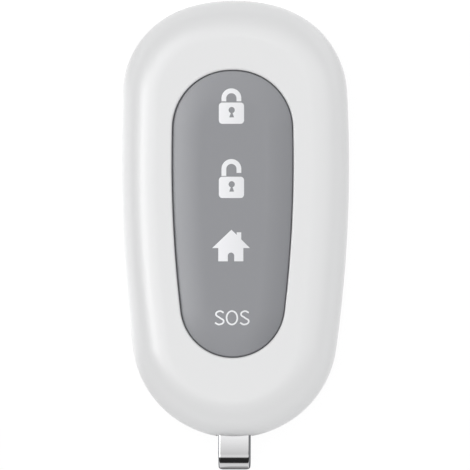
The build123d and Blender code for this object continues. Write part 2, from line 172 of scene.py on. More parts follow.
def makeGroup(name, inputs):
    # A surface that puts out a colour, a roughness and a height for the bump
    group = bpy.data.node_groups.new(name, "ShaderNodeTree")
    for label, value in inputs.items():
        kind = {1: "Float", 3: "Vector", 4: "Color"}[np.size(value)]
        socket = group.interface.new_socket(name=label, in_out="INPUT", socket_type=f"NodeSocket{kind}")
        socket.default_value = value
    for label, kind in (("Colour", "Color"), ("Roughness", "Float"), ("Height", "Float")):
        group.interface.new_socket(name=label, in_out="OUTPUT", socket_type=f"NodeSocket{kind}")
    return group, group.nodes.new("NodeGroupInput").outputs, group.nodes.new("NodeGroupOutput")


def drifting(group, given, drift):
    # The group's colour with a slow drift, and the drift itself from -1 to 1
    swing = times(group, mathNode(group, "SUBTRACT", drift.outputs["Fac"], 0.5), 2.0)
    gain = mathNode(group, "MULTIPLY_ADD", swing, given["Colour Drift"], 1.0)
    tint = addNode(group, "ShaderNodeVectorMath", {"operation": "SCALE"}, in0=given["Colour"], Scale=gain)
    return tint.outputs[0], swing


def makeMouldedGrain():
    # Fine spark-eroded grain of a moulding, with a slow drift of colour and gloss
    group, given, result = makeGroup("mouldedGrain", {
        "Colour": (0.8, 0.8, 0.8, 1), "Grain Size": 0.12, "Drift Size": 9.0, "Colour Drift": 0.02,
        "Roughness": 0.4, "Roughness Drift": 0.05,
    })
    place = objectPlace(group)
    grainScale = mathNode(group, "DIVIDE", 1000.0, given["Grain Size"])
    driftScale = mathNode(group, "DIVIDE", 1000.0, given["Drift Size"])
    grain = addNode(group, "ShaderNodeTexNoise", Vector=place, Scale=grainScale, Detail=2.0, Roughness=0.6)
    drift = addNode(group, "ShaderNodeTexNoise", Vector=place, Scale=driftScale, Detail=3.0, Roughness=0.55)
    tint, swing = drifting(group, given, drift)
    rough = mathNode(group, "MULTIPLY_ADD", swing, given["Roughness Drift"], given["Roughness"])
    feed(group, result, Colour=tint, Roughness=rough, Height=grain.outputs["Fac"])
    return group


def makeMetalScuff():
    # Fine lengthwise rubbing marks on metal, and a slow change of gloss
    group, given, result = makeGroup("metalScuff", {
        "Colour": (0.8, 0.8, 0.8, 1), "Stretch": (6000.0, 500.0, 6000.0), "Roughness": 0.2, "Scuff": 0.08,
        "Colour Drift": 0.04,
    })
    place = objectPlace(group)
    long = addNode(group, "ShaderNodeVectorMath", {"operation": "MULTIPLY"}, in0=place, in1=given["Stretch"])
    marks = addNode(group, "ShaderNodeTexNoise", Vector=long.outputs[0], Scale=1.0, Detail=3.0, Roughness=0.6)
    drift = addNode(group, "ShaderNodeTexNoise", Vector=place, Scale=260.0, Detail=2.0)
    tint, _ = drifting(group, given, drift)
    off = mathNode(group, "ABSOLUTE", mathNode(group, "SUBTRACT", marks.outputs["Fac"], 0.5))
    rub = times(group, off, 2.0)
    rough = mathNode(group, "MULTIPLY_ADD", rub, given["Scuff"], given["Roughness"])
    feed(group, result, Colour=tint, Roughness=rough, Height=marks.outputs["Fac"])
    return group


def startMaterial(name):
    material = bpy.data.materials.new(name)
    material.use_nodes = True
    return material, material.node_tree, material.node_tree.nodes["Principled BSDF"]


def finishFrom(name, group, bumpDepth, shaderValues, **inputs):
    # A material that takes its colour, roughness and height from a shared group
    material, tree, shader = startMaterial(name)
    used = tree.nodes.new("ShaderNodeGroup")
    used.node_tree = group
    for key, value in inputs.items():
        used.inputs[key.replace("_", " ")].default_value = value
    for key, value in shaderValues.items():
        shader.inputs[key].default_value = value
    colour, roughness, height = used.outputs
    bump = addNode(tree, "ShaderNodeBump", Strength=1.0, Distance=bumpDepth * mm, Height=height)
    feed(tree, shader, Base_Color=colour, Roughness=roughness, Normal=bump.outputs["Normal"])
    return material


# Colours as a picture shows them; grain and bump in mm; drift is the change of colour over the piece
plastics = {
    "shellWhite": {
        "colour": (229, 229, 229), "grain": 0.16, "bump": 0.0006, "roughness": 0.28, "drift": 0.0015,
        "unevenness": 0.008,
    },
    "keypadGrey": {
        "colour": (120, 121, 125), "grain": 0.10, "bump": 0.0016, "roughness": 0.42, "drift": 0.012,
        "unevenness": 0.02, "gloss": 0.9, "coat": 0.6,
    },
    "switchBlack": {"colour": (38, 38, 40), "grain": 0.14, "bump": 0.0030, "roughness": 0.45, "drift": 0.06},
    "chipBlack": {"colour": (30, 30, 32), "grain": 0.08, "bump": 0.0030, "roughness": 0.55, "drift": 0.06},
    "chipTan": {"colour": (168, 138, 104), "grain": 0.10, "bump": 0.0020, "roughness": 0.50, "drift": 0.08},
    "boardGreen": {"colour": (28, 92, 58), "grain": 0.30, "bump": 0.0040, "roughness": 0.35, "drift": 0.10},
    "ledLens": {"colour": (236, 238, 232), "grain": 0.20, "bump": 0.001, "roughness": 0.18, "drift": 0.02},
    "cellFill": {"colour": (56, 58, 62), "grain": 0.20, "bump": 0.0020, "roughness": 0.45, "drift": 0.05},
    "plungerWhite": {"colour": (224, 222, 214), "grain": 0.12, "bump": 0.001, "roughness": 0.38, "drift": 0.02},
}
# Stretch is the closeness of the rubbing marks along each axis
metals = {
    "loopChrome": {
        "colour": (208, 208, 209), "stretch": (5200, 420, 5200), "bump": 0.0004, "roughness": 0.08,
        "scuff": 0.04, "rim": (0.12, 0.12, 0.13, 1),
    },
    "springSteel": {
        "colour": (196, 196, 196), "stretch": (4000, 900, 4000), "bump": 0.001, "roughness": 0.28, "scuff": 0.12,
    },
    "screwSteel": {
        "colour": (186, 187, 190), "stretch": (3000, 3000, 3000), "bump": 0.0012, "roughness": 0.3, "scuff": 0.14,
    },
    "cellSteel": {
        "colour": (200, 200, 202), "stretch": (700, 5000, 5000), "bump": 0.001, "roughness": 0.26, "scuff": 0.12,
    },
    "contactBrass": {
        "colour": (206, 170, 96), "stretch": (900, 4200, 4200), "bump": 0.001, "roughness": 0.3, "scuff": 0.12,
    },
}


def makeMaterials():
    grain, scuff = makeMouldedGrain(), makeMetalScuff()
    made = {"inkWhite": makeInk()}
    for name, look in plastics.items():
        shine = {"Specular IOR Level": look.get("gloss", 0.5), "Coat Weight": look.get("coat", 0.0)}
        made[name] = finishFrom(
            name, grain, look["bump"], {**shine, "Coat Roughness": 0.35},
            Colour=linear(*look["colour"]), Grain_Size=look["grain"], Colour_Drift=look["drift"],
            Roughness=look["roughness"], Roughness_Drift=look.get("unevenness", 0.05),
        )
    for name, look in metals.items():
        made[name] = finishFrom(
            name, scuff, look["bump"], {"Metallic": 1.0, "Specular Tint": look.get("rim", (1, 1, 1, 1))},
            Colour=linear(*look["colour"]), Stretch=look["stretch"],
            Roughness=look["roughness"], Scuff=look["scuff"],
        )
    paintEdgeShade(made["loopChrome"])
    print("materials made:", len(made))
    return made


def paintEdgeShade(material):
    # Painted shade: the strap's long edges are coloured darker than its polished faces, standing in for the dark
    # lines that reflections put along them
    tree = material.node_tree
    x, _, _ = axes(tree, objectPlace(tree))
    half = loop["plainHalf"]
    # painted shade: the colour darkens towards the long edges
    edge = softStep(tree, mathNode(tree, "ABSOLUTE", x), half, half + loop["edgeShadeBlur"], mm)
    group = next(node for node in tree.nodes if node.bl_idname == "ShaderNodeGroup")
    mixed = mixColours(tree, edge, group.outputs["Colour"], linear(*loop["edgeShadeColour"]))
    feed(tree, tree.nodes["Principled BSDF"], Base_Color=mixed)


ink = {
    "bright": (244, 244, 246), "dull": (228, 228, 230),  # on the left and the right of a sign
    "reach": 2.6,  # mm from the middle to each of them
    "roughness": 0.42, "unevenness": 0.1, "bump": 0.001, "speckle": 9000.0,
    "thickness": 0.02,
    "spacing": 0.05,  # between the points of a stroke
}


def makeInk():
    # Screen-printed ink, a little duller towards +X
    material, tree, shader = startMaterial("inkWhite")
    place = objectPlace(tree)
    x, _, _ = axes(tree, place)
    reach = ink["reach"] * mm
    fade = addNode(tree, "ShaderNodeMapRange", Value=x, From_Min=-reach, From_Max=reach)
    speck = addNode(tree, "ShaderNodeTexNoise", Vector=place, Scale=ink["speckle"], Detail=2.0).outputs["Fac"]
    colour = mixColours(tree, fade.outputs[0], linear(*ink["bright"]), linear(*ink["dull"]))
    rough = mathNode(tree, "MULTIPLY_ADD", speck, ink["unevenness"], ink["roughness"] - ink["unevenness"] / 2)
    bump = addNode(tree, "ShaderNodeBump", Strength=1.0, Distance=ink["bump"] * mm, Height=speck)
    feed(tree, shader, Base_Color=colour, Roughness=rough, Normal=bump.outputs["Normal"])
    return material


# Angles are degrees from straight up, as gloss sees them; middle and reach are along Y of the direction,
# which is 1 straight past the head; the floor's places are mm, and its size m
studio = {
    "ambient": {"value": 0.690, "fall": 0.55, "tint": (247, 250, 255)},  # dimmer and cooler at both ends
    "overhead": {"value": 1.6, "around": 0.45, "side": (84, 48), "head": (54, 24), "tail": (34, -14)},
    "softbox": {"from": 38.5, "to": 56.5, "blur": 8.0, "strength": 7.6, "middle": -0.04, "reach": (0.38, 0.02)},
    "wing": {"from": 14.0, "to": 40.0, "blur": 6.0, "strength": 2.0, "middle": 0.0, "reach": (0.75, 0.35)},
    "card": {"from": 16.5, "to": 61.0, "blur": 3.0, "depth": 0.94, "past": {"gain": 0.5, "blur": 8.0}},
    "floor": {"colour": (246, 246, 246), "roughness": 0.9, "gloss": 0.2, "size": 6.0, "level": -0.02},
    "glow": {
        "share": 0.93, "strength": 1.02,
        "left": {"gain": 1.7, "x": (-14, -22), "y": (30, 12)},
        "head": {"gain": 0.5, "y": (26, 34)},
        "shade": {"depth": 0.58, "far": (-130, -48), "near": (0, -20), "x": (6, 3)},  # at the tail
    },
}


def seenDirectly(tree):
    # 1 where a camera, glossy or transmission ray asks
    path = tree.nodes.new("ShaderNodeLightPath").outputs
    both = mathNode(tree, "MAXIMUM", path["Is Camera Ray"], path["Is Glossy Ray"])
    return mathNode(tree, "MAXIMUM", both, path["Is Transmission Ray"]), path


def band(tree, angle, part):
    # 1 from one angle to another, with soft edges
    middle, half = (part["from"] + part["to"]) / 2, (part["to"] - part["from"]) / 2
    off = mathNode(tree, "ABSOLUTE", mathNode(tree, "SUBTRACT", angle, radians(middle)))
    return softStep(tree, off, radians(half + part["blur"]), radians(half - part["blur"]))


def makeWorld():
    world = bpy.data.worlds.new("studio")
    bpy.context.scene.world = world
    world.use_nodes = True
    tree = world.node_tree
    tree.nodes.clear()
    x, y, z = axes(tree, addNode(tree, "ShaderNodeTexCoord").outputs["Generated"])  # of the direction
    leftward = mathNode(tree, "ARCTAN2", times(tree, x, -1.0), z)
    tailward = mathNode(tree, "ARCTAN2", times(tree, y, -1.0), z)

    # Broad light overhead, a softbox and a weaker wing on the left, a dark card towards the tail
    above, card, past = studio["overhead"], studio["card"], studio["card"]["past"]
    broad = softStep(tree, mathNode(tree, "ABSOLUTE", leftward), *above["side"], radians(1))
    for way, limits in ((-1.0, above["head"]), (1.0, above["tail"])):
        toward = times(tree, tailward, way)
        broad = times(tree, broad, softStep(tree, toward, *limits, radians(1)))
    level = mathNode(tree, "MULTIPLY_ADD", broad, above["value"] - above["around"], above["around"])
    low = softStep(tree, tailward, card["to"], card["to"] + past["blur"], radians(1))
    lit = mathNode(tree, "MULTIPLY_ADD", low, past["gain"], level)
    for part in (studio["softbox"], studio["wing"]):
        off = mathNode(tree, "ABSOLUTE", mathNode(tree, "SUBTRACT", y, part["middle"]))
        glow = times(tree, band(tree, leftward, part), softStep(tree, off, *part["reach"]))
        lit = mathNode(tree, "MULTIPLY_ADD", glow, part["strength"], lit)
    dark = mathNode(tree, "MULTIPLY_ADD", band(tree, tailward, card), -card["depth"], 1.0)
    gloss = times(tree, lit, dark)

    # Gloss sees the studio, the camera sees white, and all else gets an even light
    direct, path = seenDirectly(tree)
    plainMix = {"data_type": "FLOAT"}
    seen = addNode(tree, "ShaderNodeMix", plainMix, in0=path["Is Camera Ray"], in2=gloss, in3=1.0)
    ambient = studio["ambient"]
    endOn = times(tree, times(tree, y, y), mathNode(tree, "SUBTRACT", 1.0, direct))
    soft = mathNode(tree, "MULTIPLY_ADD", endOn, -ambient["fall"] * ambient["value"], ambient["value"])
    value = addNode(tree, "ShaderNodeMix", plainMix, in0=direct, in2=soft, in3=seen.outputs[0])
    tint = mixColours(tree, endOn, (1, 1, 1, 1), linear(*ambient["tint"]))
    ground = addNode(tree, "ShaderNodeBackground", Color=tint, Strength=value.outputs[0])
    feed(tree, tree.nodes.new("ShaderNodeOutputWorld"), Surface=ground.outputs[0])


def makeFloor():
    look, glow = studio["floor"], studio["glow"]
    left, head, shade = glow["left"], glow["head"], glow["shade"]
    bpy.ops.mesh.primitive_plane_add(size=look["size"], location=(0, 0, look["level"] * mm))
    floor = bpy.context.object
    floor.name = "floor"
    material, tree, shader = startMaterial("floorWhite")
    shader.inputs["Base Color"].default_value = linear(*look["colour"])
    shader.inputs["Roughness"].default_value = look["roughness"]
    shader.inputs["Specular IOR Level"].default_value = look["gloss"]
    direct, path = seenDirectly(tree)
    x, y, _ = axes(tree, objectPlace(tree))

    # White to the camera, brighter to gloss at the left and the head, in the fob's shade close to the tail
    fromX, fromY = mathNode(tree, "ABSOLUTE", x), mathNode(tree, "ABSOLUTE", y)
    beside = times(tree, softStep(tree, x, *left["x"], mm), softStep(tree, fromY, *left["y"], mm))
    strength = mathNode(tree, "MULTIPLY_ADD", beside, left["gain"], glow["strength"])
    strength = mathNode(tree, "MULTIPLY_ADD", softStep(tree, y, *head["y"], mm), head["gain"], strength)
    close = times(tree, softStep(tree, y, *shade["far"], mm), softStep(tree, y, *shade["near"], mm))
    close = times(tree, close, softStep(tree, fromX, *shade["x"], mm))
    shaded = times(tree, close, path["Is Glossy Ray"])
    strength = times(tree, strength, mathNode(tree, "MULTIPLY_ADD", shaded, -shade["depth"], 1.0))
    white = addNode(tree, "ShaderNodeEmission", Color=(1, 1, 1, 1), Strength=strength)
    share = times(tree, direct, glow["share"])
    mix = addNode(tree, "ShaderNodeMixShader", in0=share, in1=shader.outputs[0], in2=white.outputs[0])
    under = tree.nodes.new("ShaderNodeNewGeometry").outputs["Backfacing"]  # clear from below
    clear = tree.nodes.new("ShaderNodeBsdfTransparent")
    mix = addNode(tree, "ShaderNodeMixShader", in0=under, in1=mix.outputs[0], in2=clear.outputs[0])
    feed(tree, tree.nodes["Material Output"], Surface=mix.outputs[0])
    floor.data.materials.append(material)


lamp = {"place": (-0.10, 0.16, 2.40), "size": 1.20, "power": 23.3}  # m and W


def makeLamp():
    data = bpy.data.lights.new("keyLamp", "AREA")
    data.shape = "SQUARE"
    data.size = lamp["size"]
    data.energy = lamp["power"]
    lit = addObject("keyLamp", data)
    lit.location = lamp["place"]
    lit.visible_glossy = False  # what gloss sees is in the world
    lit.rotation_mode = "QUATERNION"
    lit.rotation_quaternion = (-Vector(lamp["place"])).to_track_quat("-Z", "Y")


def eggArcs(width, top, bottom, shares):
    # The arcs of an egg outline: centre, radius, start and end angle, anticlockwise from the right flank
    length = top - bottom
    headRadius, shoulderRadius = shares["head"] * width, shares["shoulder"] * width
    flankRadius = shares["flank"] * length
    head = np.array((0.0, top - headRadius))
    flank = np.array((width / 2 - flankRadius, top - shares["widest"] * length))
    drop = flank[1] - bottom
    tailRadius = (flankRadius**2 - flank[0] ** 2 - drop**2) / (2 * (flankRadius - drop))
    tail = np.array((0.0, bottom + tailRadius))
    span = np.linalg.norm(flank - head)
    reach = headRadius - shoulderRadius
    along = (reach**2 - (flankRadius - shoulderRadius) ** 2 + span**2) / (2 * span)
    toFlank = (flank - head) / span
    shoulder = head + toFlank * along - np.array((-toFlank[1], toFlank[0])) * sqrt(reach**2 - along**2)

    def heading(start, end):
        return atan2(end[1] - start[1], end[0] - start[0])

    headTurn, flankTurn, tailTurn = heading(head, shoulder), heading(flank, shoulder), heading(flank, tail)
    flip = np.array((-1.0, 1.0))
    return [
        (flank, flankRadius, tailTurn, flankTurn),
        (shoulder, shoulderRadius, flankTurn, headTurn),
        (head, headRadius, headTurn, pi - headTurn),
        (shoulder * flip, shoulderRadius, pi - headTurn, pi - flankTurn),
        (flank * flip, flankRadius, pi - flankTurn, pi - tailTurn),
        (tail, tailRadius, pi - tailTurn, 2 * pi + tailTurn),
    ]


def eggPoints(arcs, step):
    # Points of the outline and their outward normals, about one step apart
    points, normals = [], []
    for centre, radius, start, end in arcs:
        count = max(3, ceil(radius * (end - start) / step))
        for turn in np.linspace(start, end, count, endpoint=False):
            normal = np.array((cos(turn), sin(turn)))
            points.append(centre + normal * radius)
            normals.append(normal)
    return np.array(points), np.array(normals)


def depthInside(arcs, points):
    # How far points lie inside the outline, and the outward direction there
    depth = np.full(len(points), 1e9)
    outward = np.zeros((len(points), 2))
    for centre, radius, start, end in arcs:
        away = points - centre
        distance = np.linalg.norm(away, axis=1)
        turn = np.mod(np.arctan2(away[:, 1], away[:, 0]) - start, 2 * pi)
        near = (turn <= end - start + 1e-9) & (radius - distance < depth)
        depth[near] = (radius - distance)[near]
        outward[near] = away[near] / distance[near, None]
    return depth, outward


def places(points):
    # Places of a mesh's points in mm
    return np.array([tuple(point.co) for point in points]) / mm


def mergedCopy(mesh, gap):
    # A working copy with its doubles joined
    work = bmesh.new()
    work.from_mesh(mesh)
    bmesh.ops.remove_doubles(work, verts=work.verts, dist=gap)
    return work


def smoothMesh(work, mesh, sharp=30.0):
    # Puts the work into a mesh, smooth between its sharp edges
    work.to_mesh(mesh)
    work.free()
    if "custom_normal" in mesh.attributes:
        mesh.attributes.remove(mesh.attributes["custom_normal"])
    mesh.shade_smooth()
    mesh.set_sharp_from_angle(angle=radians(sharp))
    return mesh


def faceOut(work):
    # Faces of a closed mesh point outwards
    bmesh.ops.recalc_face_normals(work, faces=work.faces)
    if work.calc_volume(signed=True) < 0:
        bmesh.ops.reverse_faces(work, faces=work.faces)


def placePiece(name, mesh, material, body=None, node=None):
    # A finished mesh as a piece, which may ride on a body and stand for a CAD node
    mesh.materials.clear()
    mesh.materials.append(material)
    piece = addObject(name, mesh)
    if body:
        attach(piece, body)
    if node:
        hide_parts(node)
    return piece


# The two white mouldings keep the CAD shape; their rolled surface gets its exact normals
shells = {
    "shares": {"widest": 0.376, "flank": 3.02, "head": 0.701, "shoulder": 0.413},
    "rolls": {"front_shell": 5.4, "rear_shell": 3.0},  # as in the CAD nodes
    "names": {"front_shell": "front_moulding", "rear_shell": "rear_moulding"},
    "parting": 5.52,
    "seam": {"half": 0.08, "depth": 0.07},  # fine groove where the mouldings meet
    "sharp": 32.0,  # degrees
    "near": {"skin": 0.03, "parting": 0.005},  # what counts as on the surface and at the parting
    "agree": 0.985,  # least cosine between a face and the exact normal at its corner
}


def cutSeam(work, arcs, isFront):
    # Bevels the outer edge at the parting, on the wall only
    seam, parting, near = shells["seam"], shells["parting"], shells["near"]
    level = parting + (seam["half"] if isFront else -seam["half"])

    def onWall():
        spots = places(work.verts)
        depth, outward = depthInside(arcs, spots[:, :2])
        wall = np.abs(depth) < near["skin"]
        return wall, wall & (np.abs(spots[:, 2] - parting) < near["parting"]), outward

    wall, atEdge, _ = onWall()
    faces = [
        f for f in work.faces
        if all(wall[v.index] for v in f.verts) and any(atEdge[v.index] for v in f.verts)
    ]
    parts = list({e for f in faces for e in f.edges}) + list({v for f in faces for v in f.verts}) + faces
    bmesh.ops.bisect_plane(work, geom=parts, dist=1e-7, plane_co=(0, 0, level * mm), plane_no=(0, 0, 1))
    work.verts.index_update()
    _, atEdge, outward = onWall()
    for vertex, moved, away in zip(work.verts, atEdge, outward):
        if moved:
            vertex.co.x -= away[0] * seam["depth"] * mm
            vertex.co.y -= away[1] * seam["depth"] * mm


def exactCorners(mesh, arcs, roll, middle, isFront):
    # Normals of the roll at the face corners that lie on it, and the mesh's own elsewhere
    spots = places(mesh.vertices)
    depth, outward = depthInside(arcs, spots[:, :2])
    inward = np.maximum(roll - depth, 0)
    rise = spots[:, 2] - middle
    rise = np.maximum(rise, 0) if isFront else np.minimum(rise, 0)
    exact = np.column_stack((outward * inward[:, None], rise))
    reach = np.linalg.norm(exact, axis=1)
    exact /= np.maximum(reach, 1e-9)[:, None]
    onSkin = np.abs(reach - roll) < shells["near"]["skin"]
    corners = [tuple(n.vector) for n in mesh.corner_normals]
    count = 0
    for polygon in mesh.polygons:
        if not all(onSkin[v] for v in polygon.vertices):
            continue
        for corner, vertex in zip(polygon.loop_indices, polygon.vertices):
            if np.dot(exact[vertex], polygon.normal) > shells["agree"]:
                corners[corner] = tuple(exact[vertex])
                count += 1
    return corners, count


def makeShells(materials):
    low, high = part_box("front_shell")
    arcs = eggArcs((high.x - low.x) / mm, high.y / mm, -high.y / mm, shells["shares"])
    for node, roll in shells["rolls"].items():
        low, high = (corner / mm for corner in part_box(node))
        isFront = node == "front_shell"
        name = shells["names"][node]
        work = mergedCopy(frame["nodes"][node].data, 1e-6)
        cutSeam(work, arcs, isFront)
        mesh = smoothMesh(work, bpy.data.meshes.new(name), shells["sharp"])
        corners, count = exactCorners(mesh, arcs, roll, high.z - roll if isFront else low.z + roll, isFront)
        mesh.normals_split_custom_set(corners)
        placePiece(name, mesh, materials["shellWhite"], "case", node)
        print(node, "skinned:", len(mesh.polygons), "faces,", count, "exact corners")


keyNames = ("arm", "disarm", "home", "sos")


def makeDomes(materials):
    # The snap domes under the keys, each as its own smooth mesh
    for key in keyNames:
        node, name, press = f"{key}_dome", f"{key}_snap_dome", f"{key}_press"
        work = mergedCopy(frame["nodes"][node].data, 1e-6)
        mesh = smoothMesh(work, bpy.data.meshes.new(name))
        piece = placePiece(name, mesh, materials["springSteel"], "case", node)
        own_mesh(piece)
    print("snap domes made")


keypad = {
    "shares": {"widest": 0.313, "flank": 4.51, "head": 0.601, "shoulder": 0.481},
    "flange": {"out": 1.2, "in": 0.5, "thickness": 1.0, "rise": 0.2, "step": 1.0},  # round the mat's foot
    "skirt": 0.9,  # wall that stands on the board
    "thickness": 1.5,
    "post": 1.5,  # radius of the post under a key
    "edge": 0.16,  # radius of the rolled edge
    "crown": {"side": 0.50, "end": 0.12, "width": 3.8},  # drop of the border, at the flanks and the ends
    "keyHalf": (4.6, 3.1),  # the part of a key that moves as one
    "chamfer": 2.2,
    "flex": 0.9,  # width of the bending border round a key
    "flexSteps": 5,
    "sharp": 60.0,
    "net": {  # spacing of the skin's points
        "outline": 0.45, "rollTurns": (84, 72, 60, 48, 36, 24, 12, 0), "firstRing": 0.12, "ringGap": 0.42,
        "rings": 10, "grid": 0.8, "keySide": 0.4, "postSides": 32,
        "clear": {"edge": 0.05, "rings": 0.3, "inKey": 0.2, "pastFlex": 0.15, "post": 0.2},
    },
}


def keypadArcs():
    low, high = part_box("keypad_mat")
    inset = keypad["flange"]["out"]
    width = (high.x - low.x) / mm - 2 * inset
    return eggArcs(width, high.y / mm - inset, low.y / mm + inset, keypad["shares"])


def topHeight(arcs, top, points):
    # Height of the crowned keypad and its normal at points inside the outline
    depth, outward = depthInside(arcs, points)
    crown, edge = keypad["crown"], keypad["edge"]
    near = np.clip(1 - depth / crown["width"], 0, 1)
    drop = crown["end"] + (crown["side"] - crown["end"]) * outward[:, 0] ** 2
    height = top - drop * near**2
    slope = 2 * drop / crown["width"] * near
    roll = np.clip(edge - depth, 0, edge * 0.9999)
    height -= edge - np.sqrt(edge**2 - roll**2)
    slope += roll / np.sqrt(edge**2 - roll**2)
    normal = np.column_stack((outward * slope[:, None], np.ones(len(points))))
    return height, normal / np.linalg.norm(normal, axis=1)[:, None]


def keyPolygon(middle, grow):
    # Corners of a key's moving part: a rectangle with cut corners, grown evenly
    halfX, halfY = keypad["keyHalf"]
    cut = keypad["chamfer"] + (2 - sqrt(2)) * grow
    x, y = halfX + grow, halfY + grow
    corners = [
        (x, -y + cut), (x, y - cut), (x - cut, y), (-x + cut, y),
        (-x, y - cut), (-x, -y + cut), (-x + cut, -y), (x - cut, -y),
    ]
    return np.array(corners) + np.array((0.0, middle))


def polygonSides(points, middle):
    # Distance of points outside each side line of a key's inner polygon
    corners = keyPolygon(middle, 0)
    along = np.roll(corners, -1, axis=0) - corners
    away = np.column_stack((along[:, 1], -along[:, 0])) / np.linalg.norm(along, axis=1)[:, None]
    return ((points[:, None, :] - corners[None, :, :]) * away[None, :, :]).sum(axis=2)


def arcPoints(x, y, radius, start, end, count):
    turns = np.radians(np.linspace(start, end, count))
    return [(x + radius * cos(turn), y + radius * sin(turn)) for turn in turns]


def keypadNet(arcs, middles):
    # Flat net: rings along the border, rings round the keys and their posts, a grid between them
    net, clear, edge, flex = keypad["net"], keypad["net"]["clear"], keypad["edge"], keypad["flex"]
    outline, normals = eggPoints(arcs, net["outline"])
    points, edges = [], []

    def addLoop(line):
        start = len(points)
        points.extend(line)
        edges.extend((start + n, start + (n + 1) % len(line)) for n in range(len(line)))

    addLoop(outline)
    for turn in net["rollTurns"]:
        depth = edge * (1 - sin(radians(turn)))
        addLoop(outline - normals * depth)
    sides = zip(keyPolygon(0, 0), np.roll(keyPolygon(0, 0), -1, axis=0))
    counts = [max(2, ceil(np.linalg.norm(b - a) / net["keySide"])) for a, b in sides]  # same on all rings
    for middle in middles:
        for n in range(keypad["flexSteps"] + 1):
            corners = keyPolygon(middle, flex * n / keypad["flexSteps"])
            sides = zip(corners, np.roll(corners, -1, axis=0), counts)
            addLoop([a + (b - a) * step / count for a, b, count in sides for step in range(count)])
        addLoop(arcPoints(0, middle, keypad["post"], 0, 360, net["postSides"] + 1)[:-1])

    depths = [edge + net["firstRing"] + n * net["ringGap"] for n in range(net["rings"])]
    rings = [point for depth in depths for point in outline - normals * depth]
    low, high = outline.min(axis=0), outline.max(axis=0)
    across, along = (np.arange(a, b, net["grid"]) for a, b in zip(low, high))
    free = np.array(rings + [(x, y) for x in across for y in along])
    inside, _ = depthInside(arcs, free)
    isRing = np.arange(len(free)) < len(rings)
    keep = (inside > edge + clear["edge"]) & (isRing | (inside > depths[-1] + clear["rings"]))
    for middle in middles:
        away = polygonSides(free, middle).max(axis=1)
        keep &= (away < -clear["inKey"]) | (away > flex + clear["pastFlex"])
        keep &= np.abs(np.hypot(free[:, 0], free[:, 1] - middle) - keypad["post"]) > clear["post"]
    points.extend(free[keep])
    flat, _, triangles, _, _, _ = delaunay_2d_cdt([Vector(p) for p in points], edges, [], 0, 1e-7)
    return np.array([(p.x, p.y) for p in flat]), np.array([t for t in triangles if len(t) == 3])


def makeKeypad(materials):
    arcs = keypadArcs()
    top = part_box("arm_key")[1].z / mm
    bottom = top - keypad["thickness"]
    middles = [sum(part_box(f"{name}_key")[n].y for n in (0, 1)) / 2 / mm for name in keyNames]
    flat, triangles = keypadNet(arcs, middles)
    skin = (flat, *topHeight(arcs, top, flat))

    # Sort the triangles: 0 is the mat, then for each key its own part and eight bending strips
    centres = flat[triangles].mean(axis=1)
    part = np.zeros(len(triangles), int)
    for k, middle in enumerate(middles):
        sides = polygonSides(centres, middle)
        away = sides.max(axis=1)
        part[away < 0] = 1 + 9 * k
        strip = (away >= 0) & (away < keypad["flex"])
        part[strip] = 2 + 9 * k + sides.argmax(axis=1)[strip]

    grey = materials["keypadGrey"]
    for number in sorted(set(part)):
        chosen = triangles[part == number]
        k, kind = divmod(number - 1, 9)
        if number == 0:
            mesh = slabMesh("keypad_skin", skin, chosen, bottom)
            placePiece("keypad_skin", mesh, grey, "case", "keypad_mat")
        elif kind == 0:
            key = f"{keyNames[k]}_key"
            mesh = slabMesh(f"{key}_skin", skin, chosen, bottom, (middles[k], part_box(key)[0].z / mm))
            placePiece(f"{key}_skin", mesh, grey, key, key)
        else:
            name = f"{keyNames[k]}_flex_{kind}"
            piece = placePiece(name, slabMesh(name, skin, chosen, bottom), grey)
            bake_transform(piece)
    makeFlange(grey, arcs, bottom)
    print("keypad:", len(set(part)) + 1, "pieces,", len(triangles), "faces on top")
    return arcs, top


def rimOf(faces):
    # Edges that only one of the faces uses, in that face's direction
    directed = dict.fromkeys((a, b) for face in faces for a, b in zip(face, face[1:] + face[:1]))
    return [(a, b) for a, b in directed if (b, a) not in directed]


def slabMesh(name, skin, chosen, bottom, post=None):
    # Closed slab under some of the net's triangles, with the skin's own normals on top
    flat, height, normal = skin
    triangles = [tuple(int(v) for v in t) for t in chosen]
    overPost = []
    if post:
        middle, foot = post
        centres = flat[chosen].mean(axis=1)
        near = np.hypot(centres[:, 0], centres[:, 1] - middle) < keypad["post"]
        overPost = [t for t, isNear in zip(triangles, near) if isNear]
    points, source, found = [], [], {}

    def corner(vertex, z):
        if (vertex, z) not in found:
            found[vertex, z] = len(points)
            points.append((flat[vertex][0] * mm, flat[vertex][1] * mm, z * mm))
            source.append(vertex)
        return found[vertex, z]

    def walls(rim, upper, lower):
        return [[corner(b, upper(b)), corner(a, upper(a)), corner(a, lower), corner(b, lower)] for a, b in rim]

    faces = [[corner(v, height[v]) for v in t] for t in triangles]
    faces += [[corner(v, foot if t in overPost else bottom) for v in reversed(t)] for t in triangles]
    faces += walls(rimOf(triangles), lambda v: height[v], bottom)
    if post:
        faces += walls(rimOf(overPost), lambda v: bottom, foot)
    mesh = bpy.data.meshes.new(name)
    mesh.from_pydata(points, [], faces)
    mesh.shade_smooth()
    mesh.set_sharp_from_angle(angle=radians(keypad["sharp"]))
    corners = []
    for n, polygon in enumerate(mesh.polygons):
        for vertex in polygon.vertices:
            corners.append(tuple(normal[source[vertex]]) if n < len(triangles) else tuple(polygon.normal))
    mesh.normals_split_custom_set(corners)
    return mesh


